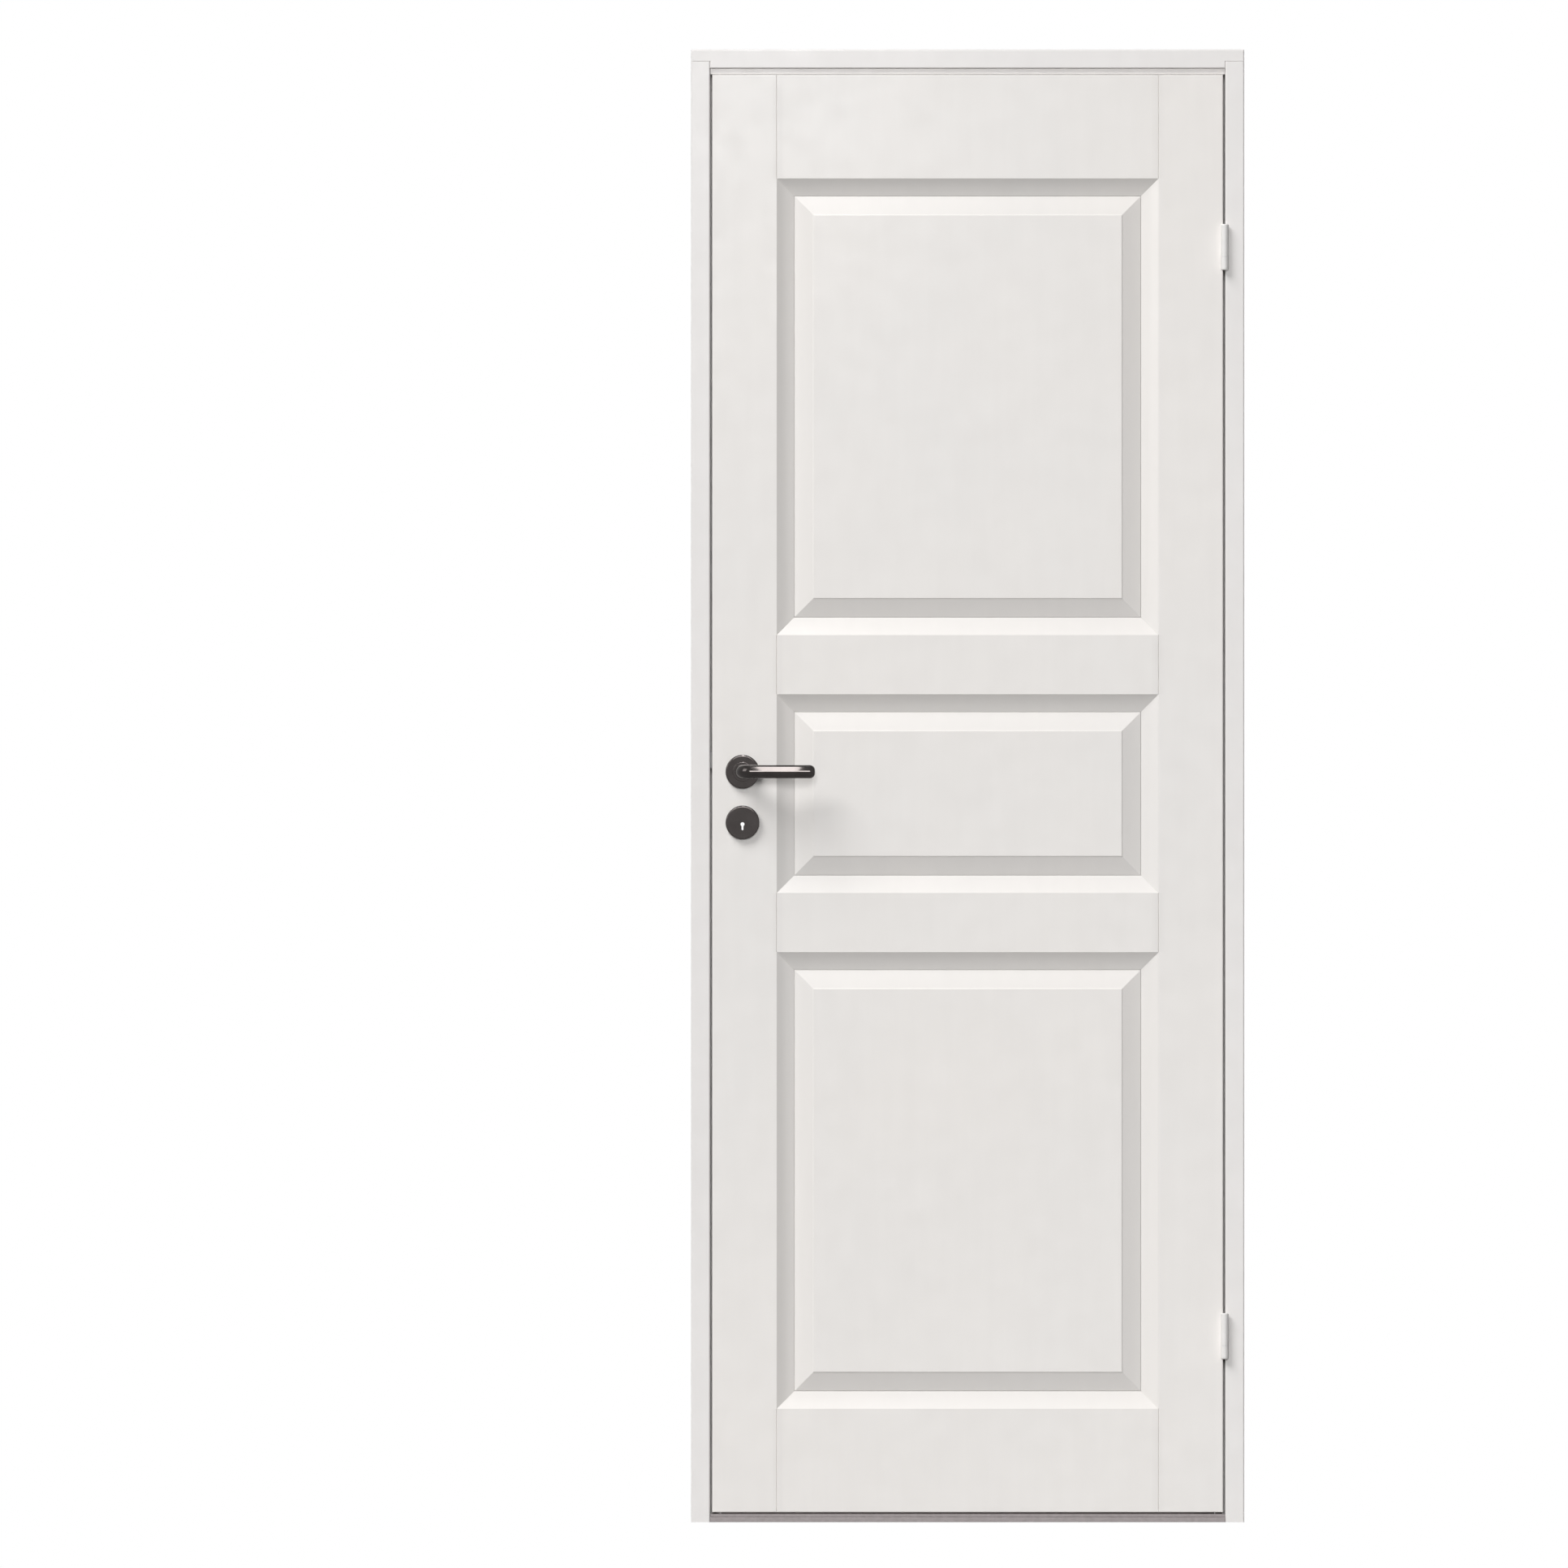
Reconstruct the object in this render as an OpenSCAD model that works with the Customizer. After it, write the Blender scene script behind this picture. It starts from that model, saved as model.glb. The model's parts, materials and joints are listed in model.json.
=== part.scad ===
// Interior door set: a stile-and-rail leaf with three raised and fielded panels, hung on
// lift-off hinges in a rebated timber frame, with a mortice lock, two levers and key roses.
// Millimetres. The origin is on the floor, on the leaf's centre line and at mid-thickness.
// +X points to the hinge side as seen from the front, +Y away from the viewer, +Z up.

/* [Leaf] */
// Width of the leaf
leaf_w = 725; // [600:5:925]
// Height of the leaf
leaf_h = 2040; // [1940:10:2140]
// Thickness of the leaf
leaf_t = 40; // [38:1:44]
// Rounding of the leaf's outer arrises
leaf_round = 1.5; // [0.5:0.5:3]
// Width of the flat face of each stile
stile_w = 91.5; // [88:0.5:105]
// Height of the top rail
top_rail_h = 147; // [110:1:170]
// Height of each middle rail
middle_rail_h = 84; // [70:1:100]
// Height of the bottom rail
bottom_rail_h = 147; // [110:1:200]
// Height of the middle panel's opening
middle_panel_h = 282; // [240:1:330]
// Width and depth of the fine grooves along the joints of rails and stiles
joint_groove = 0.7; // [0.3:0.1:1]

/* [Panels] */
// Width of the sloping moulding round each opening
sticking_w = 25; // [22:0.5:30]
// Depth of the moulding at its low edge, below the leaf's face
sticking_depth = 10.5; // [8:0.5:11]
// How far the moulding's slope is hollowed
sticking_hollow = 0.85; // [0.3:0.05:1.5]
// Thickness of the panel's tongue
tongue_t = 10; // [8:0.5:11]
// How far the tongue reaches into its groove
tongue_reach = 10; // [6:0.5:12]
// Spare depth of the groove past the tongue
groove_spare = 1.5; // [0.5:0.5:3]
// Width of the bevel round the raised field
bevel_w = 27; // [20:0.5:35]
// How far the field lies below the leaf's face
field_drop = 2; // [0.5:0.5:4]
// Height of the crisp step at the field's edge
field_step = 0.9; // [0.3:0.1:2]

/* [Dowels] */
// Diameter of the dowels between rails and stiles
dowel_d = 12; // [8:1:14]
// Length of the dowels
dowel_len = 110; // [80:5:120]
// Distance from a rail's edge to its nearest dowel
dowel_edge = 22; // [18:1:30]

/* [Frame] */
// Width of the frame's visible face
frame_face = 27; // [24:0.5:35]
// How far the stops stand in past the rebate
stop_w = 15; // [12:0.5:20]
// Depth of the frame
frame_d = 92; // [85:1:130]
// Rounding of the frame's arrises
frame_round = 2; // [0.5:0.5:3]
// Gap between the leaf and each jamb
side_gap = 3; // [2.5:0.5:4]
// Gap between the leaf and the head
head_gap = 9; // [3:0.5:10]
// Gap between the leaf and the floor
floor_gap = 14; // [12:1:20]
// Gap between the leaf and the stops, closed by the seals
stop_gap = 4.5; // [4:0.5:6]
// Height of the lap with which the head lies on the jambs
head_lap = 17; // [10:1:20]
// Distance from the front of the frame back to the strip that fills the gap over the leaf
gap_strip_back = 6; // [4:0.5:10]
// Depth of the strip that fills the gap over the leaf
gap_strip_d = 19; // [12:0.5:24]
// Height of the threshold
threshold_h = 8; // [6:0.5:10]
// Rounding of the threshold's upper arrises
threshold_round = 3; // [1:0.5:4]

/* [Seals] */
// Thickness of the seals' stem
seal_stem = 3; // [2:0.5:4]
// Depth of the groove that holds the stem
seal_groove = 6; // [4:0.5:8]
// Distance from the stop's edge to the middle of the seal
seal_inset = 5.5; // [5:0.5:7]
// Bore along the inside of the seals
seal_bore_d = 2.4; // [1.5:0.1:3]

/* [Fixings] */
// Outer diameter of the adjusting sleeves in the jambs
sleeve_d = 14; // [12:0.5:16]
// Diameter of the hole through each sleeve
sleeve_bore_d = 8.4; // [6.4:0.1:9]
// Diameter of the sunk seat for the screw's head
sleeve_seat_d = 11; // [10:0.5:11.5]
// Height of the lowest sleeve
sleeve_low_z = 140; // [110:5:170]
// Distance from the leaf's top down to the highest sleeve
sleeve_top = 174; // [160:1:200]
// Number of sleeves in each jamb
sleeve_count = 4; // [2:1:4]
// Diameter of the screws at the frame's corners
corner_screw_d = 5; // [4:0.5:6]
// Length of the screws at the frame's corners
corner_screw_len = 80; // [60:5:120]
// Diameter of the screws that hold the threshold between the jambs
sill_screw_d = 3; // [2.5:0.5:3.5]
// Diameter of the heads of the threshold's screws
sill_screw_head_d = 5; // [4.5:0.1:5.5]
// Length of the threshold's screws
sill_screw_len = 60; // [50:1:70]

/* [Hinges] */
// Height of the hinges
hinge_len = 65.5; // [60:0.5:90]
// Height of the leaf half's knuckle
leaf_knuckle_len = 46; // [36:0.5:50]
// Diameter of the knuckles
knuckle_d = 11; // [10:0.5:13]
// Diameter of the hinge pins
pin_d = 7; // [6:0.5:8]
// Thickness of the hinge plates
plate_t = 2.5; // [2:0.5:3]
// Depth of the hinge plates, back from the leaf's face
plate_d = 32; // [28:1:36]
// Distance from the leaf's top down to the middle of the upper hinge
upper_hinge_end = 244.5; // [230:0.5:260]
// Distance from the leaf's foot up to the middle of the lower hinge
lower_hinge_end = 250; // [235:0.5:260]

/* [Screws] */
// Diameter of the wood screws
screw_d = 4; // [3.5:0.5:4.5]
// Length of the wood screws
screw_len = 22; // [16:1:25]
// Diameter of the wood screws' heads
screw_head_d = 7.6; // [7:0.1:8.4]

/* [Lock] */
// Distance from the leaf's edge to the handle's and the key's axis
backset = 43; // [40:0.5:46]
// How far the handle's axis lies above the middle of the middle panel
handle_rise = 31; // [0:1:40]
// Distance from the handle's axis down to the middle of the key rose
key_drop = 72; // [70:0.5:74]
// Thickness of the lock case
case_t = 16; // [14:0.5:18]
// Depth of the lock case behind its faceplate
case_d = 68; // [66:1:72]
// Height of the lock case above the handle's axis
case_up = 40; // [36:1:44]
// Height of the lock case below the handle's axis
case_down = 125; // [110:1:130]
// Thickness of the case's walls
case_wall = 1.5; // [1:0.5:2]
// Width of the faceplate
faceplate_w = 20; // [18:0.5:22]
// Thickness of the faceplate
faceplate_t = 3; // [2.5:0.5:4]
// How far the faceplate reaches past the case at each end
faceplate_over = 35; // [30:1:40]
// Thickness of the latch bolt
latch_t = 11; // [9:0.5:12]
// Height of the latch bolt
latch_h = 24; // [20:1:26]
// How far the latch bolt stands out of the faceplate
latch_out = 11; // [9:0.5:12]
// Thickness of the dead bolt
bolt_t = 10; // [8:0.5:12]
// Height of the dead bolt
bolt_h = 28; // [24:1:32]
// Travel of the dead bolt
bolt_throw = 14; // [12:1:16]
// Distance from the handle's axis down to the middle of the dead bolt
bolt_drop = 43; // [40:1:46]

/* [Strike plate] */
// Thickness of the strike plate
strike_t = 2; // [1.5:0.5:3]
// How far the strike plate reaches past the two bolts
strike_over = 34; // [25:1:40]
// Width of the strike plate behind the bolts' centre line
strike_back = 13; // [12:0.5:16]
// Depth of the pockets in the jamb behind the strike plate
pocket_d = 17; // [16:0.5:19]

/* [Handle] */
// Diameter of the lever's round bar
lever_d = 19; // [16:0.5:20]
// Length of the lever from its axis to its tip
lever_len = 103; // [90:1:130]
// Distance from the leaf's face to the middle of the bar
lever_reach = 50; // [45:1:60]
// Bend radius of the lever's corner, along the middle of the bar
lever_bend = 14; // [12:0.5:18]
// Rounding of the lever's tip
lever_tip_round = 7.5; // [2:0.5:7.5]
// Width of the square spindle
spindle_w = 8; // [7:0.5:8]
// How far the spindle reaches into each lever past the leaf's face
spindle_reach = 28; // [24:1:34]
// Angle of the handle's full stroke, in degrees
handle_turn = 40; // [35:1:45]

/* [Roses] */
// Diameter of the roses
rose_d = 48; // [48:0.5:54]
// Height of the roses
rose_h = 8; // [7:0.5:10]
// Wall of the roses
rose_wall = 1.2; // [1:0.1:1.5]
// Rounding of the roses' rim
rose_round = 2; // [1:0.5:3]
// Diameter of the raised collar round the lever
collar_d = 28; // [26:0.5:32]
// Height of the collar above the rose
collar_h = 2; // [1:0.5:3]
// Distance between the two bolts of a rose
rose_bolt_pitch = 35; // [34:0.5:36]
// Diameter of the bolts that hold the roses
rose_bolt_d = 4; // [3:0.5:4]
// Diameter of the round part of the keyhole
keyhole_d = 5.6; // [4.5:0.1:5.6]
// Width of the keyhole's slot
keyhole_slot_w = 2.6; // [2:0.1:3]
// Length of the keyhole's slot from the key's axis down
keyhole_slot_len = 8.5; // [7:0.5:10]
// How far the key's axis lies below the middle of its rose
keyhole_offset = 2.5; // [0:0.5:4]

/* [Hidden] */
$fn = 64;
// Running clearance of round fits and of bolts in their guides
fit_gap = 0.06;
slide_gap = 0.3;
cut = 1;

white = [0.91, 0.90, 0.88];
white_metal = [0.93, 0.92, 0.91];
dark_chrome = [0.30, 0.27, 0.27];
steel = [0.70, 0.71, 0.73];
dark_steel = [0.45, 0.46, 0.48];
nylon = [0.12, 0.12, 0.12];
seal_grey = [0.80, 0.79, 0.77];
sill_grey = [0.62, 0.60, 0.60];
beech = [0.80, 0.65, 0.45];

face = leaf_t / 2;
edge = leaf_w / 2;
leaf_z0 = floor_gap;
leaf_z1 = leaf_z0 + leaf_h;
opening_w = leaf_w - 2 * stile_w;
inner_x = opening_w / 2;
tall_panel_h = (leaf_h - top_rail_h - bottom_rail_h - 2 * middle_rail_h - middle_panel_h) / 2;

// Lower edge of each opening, from the bottom panel to the top one
bottom_open_z = leaf_z0 + bottom_rail_h;
middle_open_z = bottom_open_z + tall_panel_h + middle_rail_h;
top_open_z = middle_open_z + middle_panel_h + middle_rail_h;
openings = [[bottom_open_z, tall_panel_h], [middle_open_z, middle_panel_h], [top_open_z, tall_panel_h]];
lower_rail_z = bottom_open_z + tall_panel_h;
upper_rail_z = middle_open_z + middle_panel_h;
top_rail_z = leaf_z1 - top_rail_h;

groove_d = tongue_reach + groove_spare;
groove_t = tongue_t + 2 * slide_gap;
valley = face - sticking_depth;

rebate_x = edge + side_gap;
stop_x = rebate_x - stop_w;
frame_x = rebate_x + frame_face;
rebate_z = leaf_z1 + head_gap;
stop_z = rebate_z - stop_w;
frame_z = rebate_z + frame_face;
lap_z = frame_z - head_lap;
frame_y0 = -face;
frame_y1 = frame_y0 + frame_d;
stop_y = face + stop_gap;
gap_strip_air = 0.5;

// The hinge axis stands in front of the faces by the knuckle's radius and a little air
knuckle_air = 0.5;
hinge_x = edge + side_gap - 0.5;
hinge_y = -face - knuckle_d / 2 - knuckle_air;
upper_hinge_z = leaf_z1 - upper_hinge_end;
lower_hinge_z = leaf_z0 + lower_hinge_end;
frame_knuckle_len = hinge_len - leaf_knuckle_len - slide_gap;
knuckle_round = 2;
pin_roof = 5;

sleeve_seat_h = 5;
sleeve_pitch = (leaf_z1 - sleeve_top - sleeve_low_z) / (sleeve_count - 1);
sleeve_y = (frame_y0 + stop_y) / 2;

lock_x = -(edge - backset);
handle_z = middle_open_z + middle_panel_h / 2 + handle_rise;
key_z = handle_z - key_drop;
key_axis_z = key_z - keyhole_offset;
faceplate_x = -edge + faceplate_t;
case_x1 = faceplate_x + case_d;
case_z0 = handle_z - case_down;
case_z1 = handle_z + case_up;
case_in = case_t / 2 - case_wall;

// The follower's arm turns through the handle's stroke and draws the latch bolt back
arm_tip = 3;
arm_play = 0.5;
arm_flare = 1;
arm_len = round(10 * latch_out / sin(handle_turn)) / 10;
hook_x = lock_x + arm_tip + arm_play;
hook_t = 5;
tail_t = 4;
tail_h = 6;
tail_air = 2;
tail_z = handle_z + arm_len + arm_tip + tail_air;
latch_z = tail_z + tail_h - latch_h / 2 + 1;
hub_d = 22;
latch_back = backset - hub_d / 2 - latch_out;
hub_t = 8;
boss_d = 18;

bolt_z = handle_z - bolt_drop;
bolt_tail_t = 3;
bolt_head_len = 26;
bolt_tail_end = lock_x + 21.5;
bolt_tail_drop = 7;
notch_w = 14;
notch_h = 9;
post_d = 4;
post_x = lock_x - 6.5;
post_z = bolt_z + 5;

strike_z0 = bolt_z - bolt_h / 2 - strike_over;
strike_z1 = latch_z + latch_h / 2 + strike_over;
strike_x = -rebate_x - strike_t;
screw_edge = 10;

stem_air = 1.5;
bend_y = -(face + lever_reach - lever_bend);
spindle_end = face + spindle_reach;
grub_d = 5;
grub_y = face + rose_h + collar_h + 8;
base_h = 5;
base_d = rose_d - 2 * rose_wall - 0.6;
bolt_head_d = 6.6;
bolt_head_h = 2;
wood_hole_d = 24;
key_wood_hole_d = 17;

// Carries a section drawn in x and z through y, from y0 to y1
module through_y(y0, y1) {
    translate([0, y1, 0]) rotate([90, 0, 0]) linear_extrude(y1 - y0) children();
}

// Carries a section drawn in y and z through x, from x0 to x1
module through_x(x0, x1) {
    translate([x0, 0, 0]) rotate([90, 0, 90]) linear_extrude(x1 - x0) children();
}

// Carries a section drawn in x and y up from z0 to z1
module through_z(z0, z1) {
    translate([0, 0, z0]) linear_extrude(z1 - z0) children();
}

// A rectangle between two corners, with its corners rounded
module round_rect(a, b, r) {
    translate([a[0] + r, a[1]]) square([b[0] - a[0] - 2 * r, b[1] - a[1]]);
    translate([a[0], a[1] + r]) square([b[0] - a[0], b[1] - a[1] - 2 * r]);
    for (x = [a[0] + r, b[0] - r], y = [a[1] + r, b[1] - r]) {
        translate([x, y]) circle(r);
    }
}

// A slim diamond that cuts a fine groove, drawn round a point
module groove_section() {
    rotate(45) square(joint_groove * sqrt(2), center = true);
}

// A turned part's half section: a disc of radius r and height h with its upper rim rounded
module turned_rim(r, h, round) {
    square([r, h - round]);
    square([r - round, h]);
    intersection() {
        translate([r - round, h - round]) circle(round);
        square([r, h]);
    }
}

// A countersunk screw that points down from z = 0, or its hole where gap is above 0
module countersunk(d, head_d, len, gap = 0) {
    r = d / 2 + gap;
    head_r = head_d / 2 + gap;
    rim = 0.4;
    sunk = rim + head_r - r;
    rotate_extrude() polygon([[0, gap], [head_r, gap], [head_r, -rim], [r, -sunk],
                              [r, -len + d], [0, -len - gap]]);
}

// The cross recess in a screw's head
module cross_recess(d) {
    blade = d / 5;
    for (a = [0, 90]) rotate(a) {
        translate([-d / 2, -blade / 2, -d / 3]) cube([d, blade, d / 3 + cut]);
    }
}

module screw(d, head_d, len) {
    difference() {
        countersunk(d, head_d, len);
        cross_recess(d);
    }
}

// The leaf's whole block, with its outer arrises rounded
module leaf_block() {
    intersection() {
        through_z(leaf_z0 - cut, leaf_z1 + cut) round_rect([-edge, -face], [edge, face], leaf_round);
        through_x(-edge - cut, edge + cut) round_rect([-face, leaf_z0], [face, leaf_z1], leaf_round);
    }
}

// Section of the moulding: the first axis runs into the opening and the second through the leaf
module sticking_section() {
    chord = sqrt(pow(sticking_w, 2) + pow(sticking_depth, 2));
    hollow_r = (pow(chord / 2, 2) + pow(sticking_hollow, 2)) / (2 * sticking_hollow);
    slope = atan(sticking_depth / sticking_w);
    out = hollow_r - sticking_hollow;
    difference() {
        translate([-cut, -face]) square([sticking_w + cut, leaf_t]);
        for (side = [-1, 1]) scale([1, side]) {
            translate([sticking_w / 2 + out * sin(slope), face - sticking_depth / 2 + out * cos(slope)])
                circle(hollow_r, $fn = 400);
        }
        translate([sticking_w - groove_d, -groove_t / 2]) square([groove_d + cut, groove_t]);
    }
}

// Moulding of a given length: its outer edge lies along x, it points up in z, its ends are mitred
module sticking(length) {
    w = sticking_w;
    intersection() {
        rotate([90, 0, 90]) linear_extrude(length) rotate(90) scale([1, -1]) sticking_section();
        through_y(-leaf_t, leaf_t) polygon([[0, -cut], [length, -cut], [length, 0], [length - w, w],
                                            [w, w], [0, 0]]);
    }
}

module joint_grooves(z, h) {
    for (side = [-1, 1], y = [-face, face]) {
        translate([side * inner_x, y, z]) linear_extrude(h) groove_section();
    }
}

function dowel_rows(z, h, n) = [for (i = [0:n - 1]) z + dowel_edge + i * (h - 2 * dowel_edge) / (n - 1)];
dowel_zs = concat(dowel_rows(leaf_z0, bottom_rail_h, 3), dowel_rows(lower_rail_z, middle_rail_h, 2),
                  dowel_rows(upper_rail_z, middle_rail_h, 2), dowel_rows(top_rail_z, top_rail_h, 3));

module dowel(gap) {
    tip = gap > 0 ? 0 : 1.5;
    r = dowel_d / 2 + gap;
    rotate([0, 90, 0]) rotate_extrude() {
        polygon([[0, -dowel_len / 2], [r - tip, -dowel_len / 2], [r, -dowel_len / 2 + tip],
                 [r, dowel_len / 2 - tip], [r - tip, dowel_len / 2], [0, dowel_len / 2]]);
    }
}

module dowels(gap) {
    for (side = [-1, 1], z = dowel_zs) translate([side * inner_x, 0, z]) dowel(gap);
}

// A rail between the stiles, with mouldings on the sides that face a panel
module rail(z, h, above, below) {
    difference() {
        intersection() {
            union() {
                translate([-inner_x, -face, z]) cube([opening_w, leaf_t, h]);
                if (above) translate([-inner_x, 0, z + h]) sticking(opening_w);
                if (below) translate([-inner_x, 0, z]) mirror([0, 0, 1]) sticking(opening_w);
            }
            leaf_block();
        }
        joint_grooves(z, h);
        dowels(fit_gap);
    }
}

// A stile on the hinge side, with a moulding along each opening
module stile() {
    difference() {
        intersection() {
            union() {
                translate([inner_x, -face, leaf_z0]) cube([stile_w, leaf_t, leaf_h]);
                for (o = openings) {
                    translate([inner_x, 0, o[0]]) rotate([0, -90, 0]) sticking(o[1]);
                }
            }
            leaf_block();
        }
        joint_grooves(leaf_z0, bottom_rail_h);
        joint_grooves(lower_rail_z, middle_rail_h);
        joint_grooves(upper_rail_z, middle_rail_h);
        joint_grooves(top_rail_z, top_rail_h);
        dowels(fit_gap);
    }
}

// Section of a raised and fielded panel: size is its opening's, low the tongue's reach at each end
module panel_section(size) {
    a = size / 2 - sticking_w - slide_gap;
    t = tongue_t / 2;
    low = a + slide_gap + groove_d;
    high = a + slide_gap + tongue_reach;
    f = face - field_drop;
    b = a - bevel_w;
    half = [[a, valley], [b + field_step, f - field_step], [b, f]];
    polygon([[-low, t], [-a, t], [-a, valley], [-b - field_step, f - field_step], [-b, f],
             [b, f], [b + field_step, f - field_step], [a, valley], [a, t], [high, t],
             [high, -t], [a, -t], [a, -valley], [b + field_step, -f + field_step], [b, -f],
             [-b, -f], [-b - field_step, -f + field_step], [-a, -valley], [-a, -t], [-low, -t]]);
}

// A raised panel whose tongue stands on the groove's floor at its lower edge
module panel(z, h) {
    sides = opening_w;
    translate([0, 0, z + h / 2]) intersection() {
        through_z(-h / 2, h / 2) intersection() {
            panel_section(sides);
            mirror([1, 0]) panel_section(sides);
        }
        rotate([0, -90, 0]) through_z(-sides / 2, sides / 2) panel_section(h);
    }
}

module hinge_plate_section(z) {
    round_rect([-face - cut, z - hinge_len / 2], [-face + plate_d, z + hinge_len / 2], 1);
}

hinge_screw_spots = [for (dz = [-22, 0, 22], i = [0]) [-face + plate_d / 2 + (dz == 0 ? 7 : -2), dz]];

// Screws of a hinge plate: they start at x and point along side
module plate_screws(x, z, side, gap) {
    for (s = hinge_screw_spots) {
        translate([x, s[0], z + s[1]]) rotate([0, -90 * side, 0]) {
            if (gap > 0) {
                countersunk(screw_d, screw_head_d, screw_len, gap);
            } else {
                screw(screw_d, screw_head_d, screw_len);
            }
        }
    }
}

module hinge_leaf_half(z) {
    z0 = z + hinge_len / 2 - leaf_knuckle_len;
    color(white_metal) difference() {
        union() {
            intersection() {
                through_x(edge - plate_t, edge) hinge_plate_section(z);
                translate([0, -face, 0]) cube([2 * edge, leaf_t, 2 * leaf_h]);
            }
            translate([edge - plate_t, hinge_y, z0]) cube([plate_t, -face - hinge_y + cut, leaf_knuckle_len]);
            translate([hinge_x, hinge_y, z0]) rotate_extrude() {
                turned_rim(knuckle_d / 2, leaf_knuckle_len, knuckle_round);
            }
        }
        translate([hinge_x, hinge_y, z0 - cut]) {
            cylinder(h = leaf_knuckle_len - pin_roof + cut, d = pin_d + 2 * fit_gap);
        }
        plate_screws(edge, z, -1, fit_gap);
    }
}

module hinge_frame_half(z) {
    z0 = z - hinge_len / 2;
    color(white_metal) difference() {
        union() {
            intersection() {
                through_x(rebate_x, rebate_x + plate_t) hinge_plate_section(z);
                translate([0, -face, 0]) cube([2 * edge, leaf_t, 2 * leaf_h]);
            }
            translate([rebate_x, hinge_y, z0]) cube([plate_t, -face - hinge_y + cut, frame_knuckle_len]);
            translate([hinge_x, hinge_y, z0 + frame_knuckle_len]) mirror([0, 0, 1]) rotate_extrude() {
                turned_rim(knuckle_d / 2, frame_knuckle_len, knuckle_round);
            }
        }
        translate([hinge_x, hinge_y, z0 - cut]) cylinder(h = hinge_len, d = pin_d + 2 * fit_gap);
        plate_screws(rebate_x, z, 1, fit_gap);
    }
}

module hinge_pin(z) {
    z0 = z - hinge_len / 2 + 0.5;
    z1 = z + hinge_len / 2 - pin_roof - slide_gap;
    color(steel) translate([hinge_x, hinge_y, z0]) rotate_extrude() turned_rim(pin_d / 2, z1 - z0, 1.5);
}

// Section of a jamb on the hinge side
module jamb_section() {
    round_rect([rebate_x, frame_y0], [frame_x, frame_y1], frame_round);
    round_rect([stop_x, stop_y], [frame_x, frame_y1], frame_round);
}

// Cuts the groove for the seal, and the fine grooves along the joint with the head
module jamb_common() {
    difference() {
        through_z(0, lap_z) jamb_section();
        translate([stop_x - cut, frame_y0 - cut, rebate_z]) {
            cube([stop_w + cut, frame_d + 2 * cut, frame_face]);
        }
        through_z(-cut, frame_z) translate([stop_x + seal_inset - seal_stem / 2, stop_y - cut]) {
            square([seal_stem, seal_groove + cut]);
        }
        translate([rebate_x, frame_y0, 0]) head_joint_groove();
        for (i = [0:sleeve_count - 1]) {
            through_x(rebate_x - cut, frame_x + cut) translate([sleeve_y, sleeve_low_z + i * sleeve_pitch]) {
                circle(d = sleeve_d + 2 * fit_gap);
            }
        }
        corner_screws(fit_gap);
        sill_screws(fit_gap);
    }
}

// The fine groove runs out along the lap and down beside the head
module head_joint_groove() {
    through_x(-cut, frame_face + cut) translate([0, lap_z]) groove_section();
    through_z(rebate_z - cut, lap_z) groove_section();
}

module corner_screws(gap) {
    for (side = [-1, 1], y = [frame_y0 + frame_d / 4, frame_y1 - frame_d / 4]) {
        translate([side * (frame_x - frame_face / 2), y, frame_z]) {
            if (gap > 0) {
                countersunk(corner_screw_d, 2 * corner_screw_d, corner_screw_len, gap);
            } else {
                screw(corner_screw_d, 2 * corner_screw_d, corner_screw_len);
            }
        }
    }
}

module hinge_jamb() {
    color(white) difference() {
        jamb_common();
        for (z = [lower_hinge_z, upper_hinge_z]) {
            through_x(rebate_x - cut, rebate_x + plate_t) hinge_plate_section(z);
            plate_screws(rebate_x, z, 1, fit_gap);
        }
    }
}

module strike_section() {
    round_rect([-face + frame_round, strike_z0], [strike_back, strike_z1], 2);
}

// Pocket for a bolt in the strike plate or, deeper, in the jamb
module bolt_window(z, h, t, air) {
    translate([-t / 2 - air, z - h / 2 - air]) square([t + 2 * air, h + 2 * air]);
}

module strike_screws_at(gap) {
    for (z = [strike_z0 + screw_edge, strike_z1 - screw_edge]) {
        translate([-rebate_x, 0, z]) rotate([0, 90, 0]) {
            if (gap > 0) {
                countersunk(screw_d, screw_head_d, screw_len, gap);
            } else {
                screw(screw_d, screw_head_d, screw_len);
            }
        }
    }
}

module lock_jamb() {
    pocket_air = 2;
    color(white) difference() {
        mirror([1, 0, 0]) jamb_common();
        through_x(strike_x, -rebate_x + cut) strike_section();
        through_x(-rebate_x - pocket_d, -rebate_x + cut) {
            bolt_window(latch_z, latch_h, latch_t, pocket_air);
            bolt_window(bolt_z, bolt_h, bolt_t, pocket_air);
        }
        strike_screws_at(fit_gap);
    }
}

module strike_plate() {
    window_air = 1;
    color(steel) difference() {
        through_x(strike_x, -rebate_x) strike_section();
        through_x(strike_x - cut, -rebate_x + cut) {
            bolt_window(latch_z, latch_h, latch_t, window_air);
            bolt_window(bolt_z, bolt_h, bolt_t, window_air);
        }
        strike_screws_at(fit_gap);
    }
}

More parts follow.
